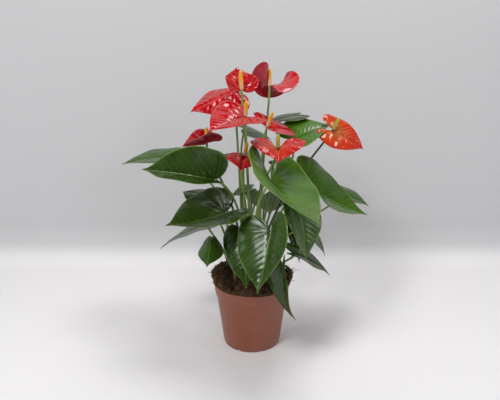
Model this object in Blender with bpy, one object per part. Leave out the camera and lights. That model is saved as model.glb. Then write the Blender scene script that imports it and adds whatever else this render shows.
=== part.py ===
# Potted anthurium: a nursery pot filled with peat, twenty heart-shaped leaves and nine
# flowers, each flower a spathe on a stalk whose end is the spadix.
# Origin: centre of the pot's resting face. +Z is up and the open side of the plant faces -Y.

import bpy
import bmesh
import numpy as np
from math import cos, pi, radians, sin
from mathutils import Vector

# ---- driving dimensions, in metres ------------------------------------------------------
CLEARANCE = 0.0003          # air between pieces that touch in life

POT_HEIGHT = 0.146
POT_RIM_RADIUS = 0.085      # outside, at the flared lip
POT_BASE_RADIUS = 0.0625    # outside, at the foot
POT_WALL = 0.0016
COLLAR_HEIGHT = 0.030       # the straighter band under the lip
COLLAR_STEP = 0.0022        # how far the collar stands out from the body
LIP_HEIGHT = 0.004
LIP_FLARE = 0.0016
LIP_EDGE = 0.001            # small bevels of the lip and of the collar's lower edge
COLLAR_INSIDE = (0.002, 0.004)  # the inside step starts this far below the collar and ends this far above
DRAIN_RADIUS = 0.004        # half-round notches through the corner of the base
DRAIN_HEIGHT = 0.005
DRAIN_COUNT = 8
DRAIN_START = -73           # heading of the first notch, in degrees
POT_SEGMENTS = 36

SOIL_RISE = 0.014           # crown of the peat above the rim
SOIL_BULGE = 0.007          # how far the heap hangs out over the rim, left and right
SIDE_SWELL = 0.010          # how much higher the heap stands at left and right
FRONT_DIP = 0.006           # how much lower it lies at front and back
FRONT_SHRINK = 0.004        # how far it draws back from the rim at front and back
SOIL_LUMPS = ((0.0015, 5, 0.6), (0.001, 9, 0))  # waves round the heap: size, count, phase
# Rings of the heap from the rim inwards: distance out from the inside of the rim, height
# above it, share of the bulge and share of the swell.
HEAP_RINGS = ((0, 0, 0, 0), (0.002, 0.002, 1, 0), (0.003, 0.007, 1.1, .3), (0, 0.010, .8, .8),
              (-0.008, SOIL_RISE, .3, 1), (-0.024, SOIL_RISE, 0, 0))
SOIL_SEGMENTS = 36
SOCKET_DEPTH = 0.016        # how deep each stalk is planted, below the crown of the peat

BLADE_THICKNESS = 0.0009
SPATHE_THICKNESS = 0.0009
LEAF_STALK_RADIUS = 0.0020
FLOWER_STALK_RADIUS = 0.0021
SPADIX_RADIUS = 0.0041
STALK_SIDES = 6
LEAF_HANDLE = 0.25          # how long a stalk keeps its end direction, as a share of its reach
FLOWER_HANDLE = 0.15
NECK_ROOM = 2.0             # extra room under a blade whose stalk leans, in stalk radii
RIDGE_ROOM = 1.5            # extra room under a blade folded downwards, in stalk radii
SPADIX_PROFILE = ((.10, .60), (.16, .95), (.45, 1.0), (.80, .85), (.95, .60), (1.0, .25))
TAPER_OF_FOLD = 0.5         # share of the fold that is lost at the tip
RIB_CROWDING = 1.5          # power that packs a blade's sections towards the joint
PEG_SIDES = 8
DRAIN_PEG_SIDES = 12
PEG_LENGTH = 0.05

# Half outlines, from the sinus round the lobe to the tip. The first number runs along the
# midrib: past the sinus it is a share of the lobe, towards the tip a share of the length.
# The second is a share of the half width.
LEAF_OUTLINE = [(0, 0), (-.45, .10), (-.85, .32), (-1, .60), (-.65, .86), (.05, 1), (.28, .96),
                (.50, .78), (.70, .48), (.84, .20), (.92, .07), (1, 0)]
SPATHE_OUTLINE = [(0, 0), (-.04, .04), (-.45, .14), (-1, .40), (-.86, .76), (0, 1), (.25, .98), (.50, .78),
                  (.72, .45), (.87, .17), (.94, .06), (1, 0)]

# One row for each blade, in centimetres and degrees. "joint" is where the blade meets its
# stalk, "root" where the stalk leaves the peat. Heading 0 points right and -90 to the front.
# Pitch lifts the tip, roll lifts the left side, droop bends the midrib down towards the tip,
# fold raises both halves, curl lowers their margins again, hook drops the lobes, lobe is
# their reach behind the joint as a share of the length, twist turns the tip round,
# neck leans the end of the stalk from square under the blade towards the tip, and rise is
# how long the stalk keeps upright, as a share of its reach.
COLUMNS = ("joint", "root", "length", "width", "heading", "pitch", "roll",
           "droop", "fold", "curl", "hook", "lobe", "twist", "neck", "rise")
LEAVES = [
    ((-16.0, 7.5, 40.1), (-2.8, 1.3), 12.5, 11.0, 190, 5, -5, 20, 15, 15, 15, .25, 0, 66, .50),
    ((-7.5, -4.3, 38.5), (-1.4, -1.9), 15.0, 13.0, 176, 10, -42, 10, 55, 0, 0, .15, 0, 70, .36),
    ((-8.0, -0.6, 33.5), (-4.2, -0.3), 8.5, 9.0, 149, 7, -5, 15, 5, 25, 10, .25, 0, 0, .47),
    ((-5.5, -5.5, 31.9), (-3.5, -2.3), 13.0, 14.5, 210, -10, -10, -20, 30, 20, 10, .30, 0, 0, .53),
    ((-9.5, 1.5, 26.5), (-5.3, 1.2), 13.5, 11.0, 165, -20, 0, 20, 15, 15, 10, .25, 0, 0, .50),
    ((-8.0, -9.0, 28.0), (-3.6, -4.0), 7.0, 7.0, -95, -25, -5, 15, -40, 25, 30, .25, 0, 0, .50),
    ((-2.0, -8.0, 28.5), (-1.7, -5.0), 11.0, 8.5, -85, -45, 10, 25, 0, 35, 25, .25, 0, 0, .50),
    ((3.5, -12.0, 30.5), (0.8, -4.2), 12.5, 13.5, -100, -55, 35, -20, 35, 25, 0, .25, 0, 0, .50),
    ((3.7, -8.9, 39.6), (1.1, -3.0), 16.5, 17.0, -66, -27, -25, -30, 29, 15, -30, .38, 0, 0, .61),
    ((11.1, -0.8, 36.7), (3.4, 1.2), 15.5, 14.0, 10, -40, 22, -25, 30, 15, 5, .25, 0, 0, .52),
    ((8.5, 5.5, 44.7), (2.0, 2.5), 9.0, 12.0, 10, 26, 17, 20, 20, 20, 0, .25, 0, 0, .55),
    ((10.0, 12.3, 48.5), (-1.2, 2.1), 7.5, 8.0, 200, -5, 0, 10, 5, 15, 0, .25, 0, 0, .71),
    ((-1.5, 16.2, 44.8), (-0.4, 2.8), 8.5, 9.0, 30, -13, 12, 25, 0, 15, 10, .25, 0, 2, .44),
    ((19.9, 9.0, 31.5), (3.0, -0.3), 7.2, 8.0, -8, -18, 5, 10, 25, 30, 50, .35, 0, -2, .47),
    ((8.6, -9.0, 34.1), (4.0, -3.2), 10.5, 10.0, -47, -58, -4, 30, 25, 15, 10, .25, 0, 0, .45),
    ((11.9, -0.0, 27.2), (4.8, 0.3), 8.0, 7.0, -12, -50, -1, 20, 10, 20, 10, .25, 0, 0, .72),
    ((9.0, -3.2, 21.9), (5.1, -2.1), 10.0, 8.0, 10, -25, 5, 20, 20, 15, 10, .25, 0, 0, .50),
    ((6.0, -10.0, 22.0), (3.1, -4.4), 12.0, 8.0, -105, -75, 50, 40, 25, 10, 0, .25, 0, 0, .50),
    ((-2.5, 8.1, 40.3), (-1.6, 3.6), 9.0, 10.0, 147, -11, 12, 20, 15, 15, 0, .25, 0, 0, .50),
    ((3.0, 8.0, 31.5), (2.4, 4.2), 9.0, 9.0, 78, -44, 0, 10, 5, 20, 0, .20, 0, 0, .52),
]
SPATHES = [
    ((4.1, 8.1, 55.6), (1.4, 1.7), 8.0, 13.0, 58, -20, 0, -35, 46, 40, -10, .38, -105, 0, .52),
    ((-2.0, -1.3, 55.4), (-0.4, 0.8), 5.8, 7.8, 105, 37, 0, -20, 12, -40, 0, .20, 0, 0, .50),
    ((-3.5, 4.5, 55.0), (-1.8, 1.6), 10.0, 12.0, 200, -20, -20, 5, -20, 0, 15, .20, 0, 0, .25),
    ((-1.2, -6.1, 51.2), (-0.3, -1.3), 8.4, 11.5, 220, 1, -11, 25, 20, 15, 0, .25, 0, 0, .51),
    ((3.0, 1.0, 47.9), (1.8, 0.9), 7.5, 10.5, 35, -9, 21, 10, 20, 15, -25, .35, 0, 0, .34),
    ((4.9, -7.0, 45.3), (0.1, -2.5), 4.4, 10.8, -90, 5, 0, 50, 28, 15, -30, .75, 0, 0, .80),
    ((17.0, 5.3, 46.9), (2.2, 3.3), 7.6, 8.5, -6, -28, 28, 15, 12, 25, 0, .42, 0, 0, .41),
    ((-9.5, 4.4, 43.9), (-2.2, 2.8), 5.0, 8.5, 199, -1, 7, 0, 48, 15, 30, .50, 0, 0, .56),
    ((-1.5, -5.4, 43.5), (-1.1, -2.7), 5.0, 7.0, -95, -4, -9, 25, 15, 35, -10, .25, 0, 0, .51),
]
# Spadix of each flower: heading and lean from upright in degrees, length in centimetres.
SPADICES = [(171, 0, 4.0), (-118, 7, 4.2), (100, 5, 3.8), (-82, 14, 3.4),
            (-54, 30, 4.0), (-91, 16, 3.2), (-52, 32, 3.4), (94, 7, 3.4),
            (-69, 27, 3.6)]

CM = 0.01
BLADE_ROWS = 11             # sections between the joint and the tip
LEAF_COLUMNS = 5            # points across a blade
SPATHE_COLUMNS = 7
STALK_FOOT = 0.020          # straight stretch of each stalk, from its foot up
STALK_STEPS = 9


# ---- materials --------------------------------------------------------------------------
def make_material(name, color, roughness):
    material = bpy.data.materials.new(name)
    material.use_nodes = True
    shader = material.node_tree.nodes["Principled BSDF"]
    shader.inputs["Base Color"].default_value = (*color, 1.0)
    shader.inputs["Roughness"].default_value = roughness
    shader.inputs["Metallic"].default_value = 0.0
    material.diffuse_color = (*color, 1.0)
    return material


def make_object(name, mesh, material):
    body = bpy.data.objects.new(name, mesh)
    body.data.materials.append(material)
    bpy.context.scene.collection.objects.link(body)
    return body


def mesh_from(name, points, faces, smooth=True):
    mesh = bpy.data.meshes.new(name)
    mesh.from_pydata([tuple(p) for p in points], [], faces)
    if smooth:
        mesh.shade_smooth()
    return mesh


# ---- blades -----------------------------------------------------------------------------
def smooth_line(points, count):
    """A Catmull-Rom curve through the points, as an array of count rows."""
    points = np.array(points, float)
    padded = np.vstack([2 * points[0] - points[1], points, 2 * points[-1] - points[-2]])
    spans = len(points) - 1
    place = np.linspace(0, spans, count)
    first = np.minimum(place.astype(int), spans - 1)
    t = (place - first)[:, None]
    a, b, c, d = (padded[first + k] for k in range(4))
    return 0.5 * (2 * b + (c - a) * t + (2 * a - 5 * b + 4 * c - d) * t ** 2
                  + (3 * b - a - 3 * c + d) * t ** 3)


def turn_matrix(heading, pitch, roll):
    """Columns are the blade's midrib, its left side and its upper face."""
    h, p, r = np.radians([heading, pitch, roll])
    about_x = np.array([[1, 0, 0], [0, cos(r), -sin(r)], [0, sin(r), cos(r)]])
    about_y = np.array([[cos(p), 0, -sin(p)], [0, 1, 0], [sin(p), 0, cos(p)]])
    about_z = np.array([[cos(h), -sin(h), 0], [sin(h), cos(h), 0], [0, 0, 1]])
    return about_z @ about_y @ about_x


def blade_surface(outline, row, columns, room):
    """Grid of points from the sinus to the tip: flat heart, then folded, bent and turned.

    Room is the least half width of the sinus, measured after the fold."""
    length = row["length"] * CM
    half = row["width"] * CM / 2
    lobe = row["lobe"] * length
    edge = smooth_line(outline, BLADE_ROWS + 1)
    edge_x = np.where(edge[:, 0] < 0, edge[:, 0] * lobe, edge[:, 0] * length)
    edge_y = np.maximum(edge[:, 1], 0) * half
    sinus = room / cos(radians(row["fold"]))
    edge_y = np.where((edge_x < 0) & (edge_y < sinus), sinus, edge_y)
    rib = np.linspace(0, 1, BLADE_ROWS + 1) ** RIB_CROWDING * length
    across = np.linspace(-1, 1, columns)
    x = rib[:, None] + (edge_x - rib)[:, None] * np.abs(across)
    y = edge_y[:, None] * across

    # across the blade each half is an arc: it leaves the rib at the fold and curls over
    fold = radians(row["fold"]) * (1 - TAPER_OF_FOLD * np.clip(x / length, 0, 1))
    curl = (radians(row["curl"]) or 1e-4) / half
    side = np.sign(y) * (np.sin(fold) - np.sin(fold - curl * np.abs(y))) / curl
    lift = (np.cos(fold - curl * np.abs(y)) - np.cos(fold)) / curl
    turn = radians(row["twist"]) * x / length
    side, lift = side * np.cos(turn) - lift * np.sin(turn), side * np.sin(turn) + lift * np.cos(turn)

    # along the blade the midrib is an arc that droops, and the lobes bend by the hook
    bend = np.where(x >= 0, -(radians(row["droop"]) or 1e-4) / length,
                    -(radians(row["hook"]) or 1e-4) / lobe)
    along = np.sin(bend * x) / bend - np.sin(bend * x) * lift
    height = (1 - np.cos(bend * x)) / bend + np.cos(bend * x) * lift
    local = np.stack([along, side, height], axis=-1)
    return local @ turn_matrix(row["heading"], row["pitch"], row["roll"]).T


def blade_mesh(name, grid):
    """The grid as one open sheet; its first and last rows close to a point each."""
    rows, columns = grid.shape[:2]
    inner = grid[1:-1].reshape(-1, 3)
    points = np.vstack([grid[0, 0], inner, grid[-1, 0]])
    tip = len(points) - 1
    faces = []
    for j in range(columns - 1):
        faces.append((0, 1 + j, 2 + j))
        last = 1 + (rows - 3) * columns + j
        faces.append((tip, last + 1, last))
        for i in range(rows - 3):
            a = 1 + i * columns + j
            faces.append((a, a + columns, a + columns + 1, a + 1))
    return mesh_from(name, points, faces)


def make_blade(name, outline, row, columns, thickness, material, shift, room):
    grid = blade_surface(outline, row, columns, room) + np.array(row["joint"]) * CM + shift
    body = make_object(name, blade_mesh(name, grid), material)
    wall = body.modifiers.new("wall", "SOLIDIFY")
    wall.thickness = thickness
    wall.offset = 0.0
    wall.use_even_offset = False
    return body


# ---- stalks -----------------------------------------------------------------------------
def stalk_path(row, end, direction, handle):
    """Upright foot in the peat, then one cubic sweep that arrives at end along direction."""
    foot = Vector((*row["root"], 0)) * CM + Vector((0, 0, FOOT_LEVEL))
    start = foot + Vector((0, 0, STALK_FOOT))
    reach = (end - start).length
    first = start + Vector((0, 0, row["rise"] * reach))
    second = end - direction * handle * reach
    points = [foot]
    for k in range(STALK_STEPS):
        t = k / (STALK_STEPS - 1)
        points.append(start * (1 - t) ** 3 + first * 3 * t * (1 - t) ** 2
                      + second * 3 * t ** 2 * (1 - t) + end * t ** 3)
    return points


def make_tube(name, points, radii, material):
    """A round rod along the points, as a bevelled curve with filled ends."""
    curve = bpy.data.curves.new(name, "CURVE")
    curve.dimensions = "3D"
    curve.bevel_depth = 1.0
    curve.bevel_resolution = (STALK_SIDES - 4) // 2
    curve.use_fill_caps = True
    curve.twist_mode = "MINIMUM"
    line = curve.splines.new("POLY")
    line.points.add(len(points) - 1)
    for spot, point, radius in zip(line.points, points, radii):
        spot.co = (*point, 1.0)
        spot.radius = radius
    line.use_smooth = True
    return make_object(name, curve, material)


def make_leaf(number, values):
    row = dict(zip(COLUMNS, values))
    make_blade(f"leaf_{number:02d}", LEAF_OUTLINE, row, LEAF_COLUMNS, BLADE_THICKNESS,
               LEAF_GREEN, np.zeros(3), 0)
    turned = turn_matrix(row["heading"], row["pitch"], row["roll"])
    neck = radians(row["neck"])
    arrival = Vector(turned[:, 2]) * cos(neck) + Vector(turned[:, 0]) * sin(neck)
    ridge = max(0, sin(radians(-row["fold"])))
    short = BLADE_THICKNESS + CLEARANCE + LEAF_STALK_RADIUS * (RIDGE_ROOM * ridge + NECK_ROOM * sin(neck))
    under = Vector(row["joint"]) * CM - arrival * short
    points = stalk_path(row, under, arrival, LEAF_HANDLE)
    make_tube(f"leaf_stalk_{number:02d}", points, [LEAF_STALK_RADIUS] * len(points), STALK_GREEN)


def make_flower(number, values, spadix):
    row = dict(zip(COLUMNS, values))
    heading, lean, length = radians(spadix[0]), radians(spadix[1]), spadix[2] * CM
    direction = Vector((sin(lean) * cos(heading), sin(lean) * sin(heading), cos(lean)))
    rib = turn_matrix(row["heading"], row["pitch"], row["roll"])[:, 0]
    across = Vector(rib).angle(direction)
    shift = rib * (FLOWER_STALK_RADIUS / sin(across) + SPATHE_THICKNESS + CLEARANCE)
    make_blade(f"spathe_{number}", SPATHE_OUTLINE, row, SPATHE_COLUMNS, SPATHE_THICKNESS,
               SPATHE_RED, shift, SPADIX_RADIUS + SPATHE_THICKNESS + CLEARANCE)
    joint = Vector(row["joint"]) * CM
    points = stalk_path(row, joint, direction, FLOWER_HANDLE)
    radii = [FLOWER_STALK_RADIUS] * len(points)
    for share, thickness in SPADIX_PROFILE:
        points.append(joint + direction * length * share)
        radii.append(SPADIX_RADIUS * thickness)
    make_tube(f"flower_stalk_{number}", points, radii, STALK_GREEN)


# ---- pot and peat -----------------------------------------------------------------------
def ring_faces(count, segments):
    """Faces between neighbouring turns of a profile with count points."""
    faces = []
    for k in range(segments):
        here, there = k * count, (k + 1) % segments * count
        faces += [(here + i, there + i, there + i + 1, here + i + 1) for i in range(count - 1)]
    return faces


def spin_profile(name, profile, segments):
    """A closed profile of (radius, height) pairs, turned once round the Z axis."""
    points = [(r * cos(2 * pi * k / segments), r * sin(2 * pi * k / segments), z)
              for k in range(segments) for r, z in profile]
    return mesh_from(name, points, ring_faces(len(profile), segments))


def body_radius(height):
    """Outside radius of the pot's tapered body at a height."""
    top = POT_RIM_RADIUS - LIP_FLARE - COLLAR_STEP
    return POT_BASE_RADIUS + (top - POT_BASE_RADIUS) * height / POT_HEIGHT


def close_on_axis(mesh):
    """Welds the points that lie on the axis into one at each height."""
    shape = bmesh.new()
    shape.from_mesh(mesh)
    bmesh.ops.remove_doubles(shape, verts=shape.verts, dist=1e-6)
    bmesh.ops.recalc_face_normals(shape, faces=shape.faces)
    shape.to_mesh(mesh)
    shape.free()


def cut_away(body, cutter):
    cut = body.modifiers.new("cut", "BOOLEAN")
    cut.operation = "DIFFERENCE"
    cut.solver = "EXACT"
    cut.object = cutter
    cutter.hide_render = True
    cutter.display_type = "WIRE"


def make_pegs(name, places, radius, low, high, sides):
    """Upright pegs that cut holes: one object with a peg at each place."""
    shape = bmesh.new()
    for x, y in places:
        ring = bmesh.ops.create_cone(shape, cap_ends=True, segments=sides, radius1=radius,
                                     radius2=radius, depth=high - low)
        bmesh.ops.translate(shape, verts=ring["verts"], vec=(x, y, (low + high) / 2))
    mesh = bpy.data.meshes.new(name)
    shape.to_mesh(mesh)
    shape.free()
    return make_object(name, mesh, STALK_GREEN)


def make_pot():
    collar_low = POT_HEIGHT - COLLAR_HEIGHT
    lip_low = POT_HEIGHT - LIP_HEIGHT
    collar = body_radius(collar_low) + COLLAR_STEP
    below, above = COLLAR_INSIDE
    profile = [
        (0, 0), (POT_BASE_RADIUS, 0),
        (body_radius(collar_low), collar_low), (collar, collar_low + LIP_EDGE),
        (POT_RIM_RADIUS - LIP_FLARE, lip_low), (POT_RIM_RADIUS, lip_low + LIP_EDGE),
        (POT_RIM_RADIUS, POT_HEIGHT - LIP_EDGE), (POT_RIM_RADIUS - LIP_EDGE, POT_HEIGHT),
        (POT_RIM_RADIUS - LIP_FLARE - POT_WALL, POT_HEIGHT),
        (collar - POT_WALL, collar_low + above),
        (body_radius(collar_low) - POT_WALL, collar_low - below),
        (body_radius(POT_WALL) - POT_WALL, POT_WALL), (0, POT_WALL)]
    mesh = spin_profile("pot", profile, POT_SEGMENTS)
    close_on_axis(mesh)
    pot = make_object("pot", mesh, POT_BROWN)
    angles = [radians(DRAIN_START + 360 * k / DRAIN_COUNT) for k in range(DRAIN_COUNT)]
    places = [(POT_BASE_RADIUS * cos(a), POT_BASE_RADIUS * sin(a)) for a in angles]
    cut_away(pot, make_pegs("drain_pegs", places, DRAIN_RADIUS, -DRAIN_HEIGHT, DRAIN_HEIGHT,
                            DRAIN_PEG_SIDES))
    mesh.set_sharp_from_angle(angle=radians(35))


def make_soil():
    """Peat plug that follows the pot's inside, with a heap that leans out over the rim."""
    gap = POT_WALL + CLEARANCE
    collar_low = POT_HEIGHT - COLLAR_HEIGHT
    floor = POT_WALL + CLEARANCE
    below, above = COLLAR_INSIDE
    rim_inside = POT_RIM_RADIUS - LIP_FLARE - gap
    over = POT_HEIGHT + CLEARANCE
    # each ring is (radius, height, share of the bulge, share of the swell at the sides)
    rings = [(0, floor, 0, 0), (body_radius(floor) - gap, floor, 0, 0),
             (body_radius(collar_low) - gap, collar_low - below, 0, 0),
             (body_radius(collar_low) + COLLAR_STEP - gap, collar_low + above, 0, 0)]
    rings += [(rim_inside + out, over + up, bulge, swell) for out, up, bulge, swell in HEAP_RINGS]
    rings.append((0, over + SOIL_RISE, 0, 0))
    points = []
    for k in range(SOIL_SEGMENTS):
        angle = 2 * pi * k / SOIL_SEGMENTS
        side = abs(cos(angle)) ** 2
        lumps = sum(size * sin(count * angle + phase) for size, count, phase in SOIL_LUMPS)
        for radius, height, bulge, swell in rings:
            r = radius + bulge * (SOIL_BULGE * side - FRONT_SHRINK * (1 - side) + lumps)
            z = height + swell * (SIDE_SWELL * side - FRONT_DIP * (1 - side) + lumps)
            points.append((r * cos(angle), r * sin(angle), z))
    mesh = mesh_from("soil", points, ring_faces(len(rings), SOIL_SEGMENTS))
    close_on_axis(mesh)
    soil = make_object("soil", mesh, PEAT_BROWN)
    for name, rows, radius in (("leaf_pegs", LEAVES, LEAF_STALK_RADIUS),
                               ("flower_pegs", SPATHES, FLOWER_STALK_RADIUS)):
        places = [(root[0] * CM, root[1] * CM) for _, root, *_ in rows]
        pegs = make_pegs(name, places, radius + CLEARANCE, FOOT_LEVEL - CLEARANCE,
                         FOOT_LEVEL + PEG_LENGTH, PEG_SIDES)
        cut_away(soil, pegs)


# ---- build ------------------------------------------------------------------------------
for old in list(bpy.data.objects):
    bpy.data.objects.remove(old)

FOOT_LEVEL = POT_HEIGHT + SOIL_RISE - SOCKET_DEPTH

LEAF_GREEN = make_material("leaf_green", (0.060, 0.160, 0.030), 0.35)
STALK_GREEN = make_material("stalk_green", (0.190, 0.280, 0.060), 0.45)
SPATHE_RED = make_material("spathe_red", (0.600, 0.020, 0.025), 0.20)
POT_BROWN = make_material("pot_brown", (0.235, 0.085, 0.052), 0.50)
PEAT_BROWN = make_material("peat_brown", (0.030, 0.018, 0.010), 0.95)

make_pot()
make_soil()
for number, values in enumerate(LEAVES, 1):
    make_leaf(number, values)
for number, (values, spadix) in enumerate(zip(SPATHES, SPADICES), 1):
    make_flower(number, values, spadix)
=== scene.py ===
from math import cos, radians, sin

import bpy
import numpy as np
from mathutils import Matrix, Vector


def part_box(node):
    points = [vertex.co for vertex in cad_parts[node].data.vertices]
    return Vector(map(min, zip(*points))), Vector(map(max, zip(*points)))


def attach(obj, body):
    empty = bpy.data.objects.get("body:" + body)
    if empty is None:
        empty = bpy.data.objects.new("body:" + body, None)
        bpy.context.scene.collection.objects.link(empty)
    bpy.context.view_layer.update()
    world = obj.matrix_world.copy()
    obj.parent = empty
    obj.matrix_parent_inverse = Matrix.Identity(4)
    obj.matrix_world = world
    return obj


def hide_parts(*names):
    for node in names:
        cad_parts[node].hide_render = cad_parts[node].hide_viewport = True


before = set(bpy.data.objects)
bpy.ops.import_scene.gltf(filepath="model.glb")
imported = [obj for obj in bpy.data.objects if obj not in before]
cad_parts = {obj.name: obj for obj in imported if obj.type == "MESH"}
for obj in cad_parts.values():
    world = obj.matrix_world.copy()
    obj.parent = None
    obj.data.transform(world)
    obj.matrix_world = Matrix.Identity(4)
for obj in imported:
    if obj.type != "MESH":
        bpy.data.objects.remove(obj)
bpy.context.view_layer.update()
print("frame: the potted anthurium, " + str(len(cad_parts)) + " packed nodes")

rootBody = "root"
airGap = 0.0003         # air between touching pieces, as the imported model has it
fineBump = 0.0002       # depth of the grain on skins, in metres


# Shader helpers.
def putNode(tree, kind, inputs=None, **settings):
    # one shader node: inputs are numbers, colours or other nodes' sockets
    node = tree.nodes.new("ShaderNode" + kind)
    for name, value in settings.items():
        setattr(node, name, value)
    for name, value in (inputs or {}).items():
        if isinstance(value, bpy.types.NodeSocket):
            tree.links.new(value, node.inputs[name])
        else:
            node.inputs[name].default_value = value
    return node


def doMath(tree, operation, a, b=0.0, c=0.0):
    # one sum of numbers or sockets; MULTIPLY_ADD is a times b plus c
    return putNode(tree, "Math", {0: a, 1: b, 2: c}, operation=operation).outputs[0]


def mapTo(tree, value, low, high, outLow=0.0, outHigh=1.0):
    # a smooth step from outLow, below low, to outHigh, above high
    inputs = {"Value": value, "From Min": low, "From Max": high, "To Min": outLow, "To Max": outHigh}
    return putNode(tree, "MapRange", inputs, interpolation_type="SMOOTHSTEP").outputs["Result"]


def mixColours(tree, share, first, second):
    # first where the share is 0, second where it is 1
    node = putNode(tree, "Mix", data_type="RGBA")
    for socket, value in ((node.inputs[0], share), (node.inputs[6], first), (node.inputs[7], second)):
        if isinstance(value, bpy.types.NodeSocket):
            tree.links.new(value, socket)
        elif isinstance(value, (int, float)):
            socket.default_value = value
        else:
            socket.default_value = (*value, 1.0)
    return node.outputs[2]


def readAttribute(tree, name):
    # a number that the piece carries at each of its points
    return putNode(tree, "Attribute", attribute_name=name).outputs["Fac"]


def startMaterial(name, **constants):
    # a new material with only its shader; constants go straight on the shader's sockets
    material = bpy.data.materials.new(name)
    material.use_nodes = True
    tree = material.node_tree
    shader = tree.nodes["Principled BSDF"]
    for key, value in constants.items():
        shader.inputs[key.replace("_", " ")].default_value = value
    return material, tree, shader


def startGroup(name, inputs, outputs):
    # a node group: inputs are (name, default) numbers, outputs are (name, kind)
    group = bpy.data.node_groups.new(name, "ShaderNodeTree")
    for label, value in inputs:
        socket = group.interface.new_socket(label, in_out="INPUT", socket_type="NodeSocketFloat")
        socket.default_value = value
    for label, kind in outputs:
        group.interface.new_socket(label, in_out="OUTPUT", socket_type="NodeSocket" + kind)
    return group, group.nodes.new("NodeGroupInput"), group.nodes.new("NodeGroupOutput")


def useGroup(tree, group, inputs):
    return putNode(tree, "Group", inputs, node_tree=group)


def buildVeinGroup():
    # Side veins sit where the vein number is whole; the mask is 1 on them. The net is the
    # finer mesh of cell walls between them.
    inputs = [("Vein Number", 0), ("Vein Width", .05), ("Net Scale", 300)]
    group, entry, leave = startGroup("bladeVeins", inputs, [("Veins", "Float"), ("Net", "Float")])
    away = doMath(group, "PINGPONG", entry.outputs["Vein Number"], 0.5)
    veins = mapTo(group, away, 0.0, entry.outputs["Vein Width"], 1.0, 0.0)
    where = putNode(group, "UVMap", uv_map="bladeUv").outputs["UV"]
    cells = putNode(group, "TexVoronoi", {"Vector": where, "Scale": entry.outputs["Net Scale"]},
                    feature="DISTANCE_TO_EDGE").outputs["Distance"]
    group.links.new(veins, leave.inputs["Veins"])
    group.links.new(mapTo(group, cells, 0.0, 0.12, 1.0, 0.0), leave.inputs["Net"])
    return group


def buildMottleGroup():
    # Large soft patches and fine grain on the object's own coordinates, both from 0 to 1.
    group, entry, leave = startGroup("surfaceMottle", [("Patch Scale", 20), ("Grain Scale", 400)],
                                     [("Patches", "Float"), ("Grain", "Float")])
    where = putNode(group, "TexCoord").outputs["Object"]
    for label, source, detail in (("Patches", "Patch Scale", 3.0), ("Grain", "Grain Scale", 2.0)):
        noise = putNode(group, "TexNoise", {"Vector": where, "Scale": entry.outputs[source], "Detail": detail})
        group.links.new(mapTo(group, noise.outputs["Fac"], 0.3, 0.7), leave.inputs[label])
    return group


veinGroup = buildVeinGroup()
mottleGroup = buildMottleGroup()


def bumpFrom(tree, height, strength, depth=fineBump):
    # a height from 0 to 1 becomes a bump that many metres deep
    inputs = {"Height": height, "Strength": strength, "Distance": depth}
    return putNode(tree, "Bump", inputs).outputs["Normal"]


def bladeLayers(tree, look):
    # the mottle and the veins of a blade, for its material
    scales = {"Patch Scale": look["patchScale"], "Grain Scale": look["grainScale"]}
    mottle = useGroup(tree, mottleGroup, scales)
    veins = useGroup(tree, veinGroup, {"Vein Number": readAttribute(tree, "veinNumber"),
                                       "Vein Width": look["veinWidth"], "Net Scale": look["netScale"]})
    return mottle.outputs["Patches"], mottle.outputs["Grain"], veins.outputs["Veins"], veins.outputs["Net"]


# Materials of the plant.
# Show is how strongly a layer tints the flesh, from 0 to 1. Coat and roughness are for the
# upper face; the back adds backRoughness and has backCoat.
leafLook = {
    "deep": (0.011, 0.027, 0.005), "litGreen": (0.066, 0.185, 0.004), "vein": (0.190, 0.270, 0.045),
    "rim": (0.240, 0.330, 0.060), "under": (0.080, 0.130, 0.035), "patchScale": 26.0, "grainScale": 900.0,
    "netScale": 300.0, "veinWidth": 0.035, "patchShow": 0.16, "veinShow": 0.42, "netShow": 0.07,
    "ribShow": 0.75, "rimShow": 0.75, "backVeinShow": 0.5, "specular": 0.32, "coat": 0.22, "backCoat": 0.0,
    "coatRoughness": 0.20, "roughness": 0.22, "backRoughness": 0.20, "bump": 0.12,
}


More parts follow.
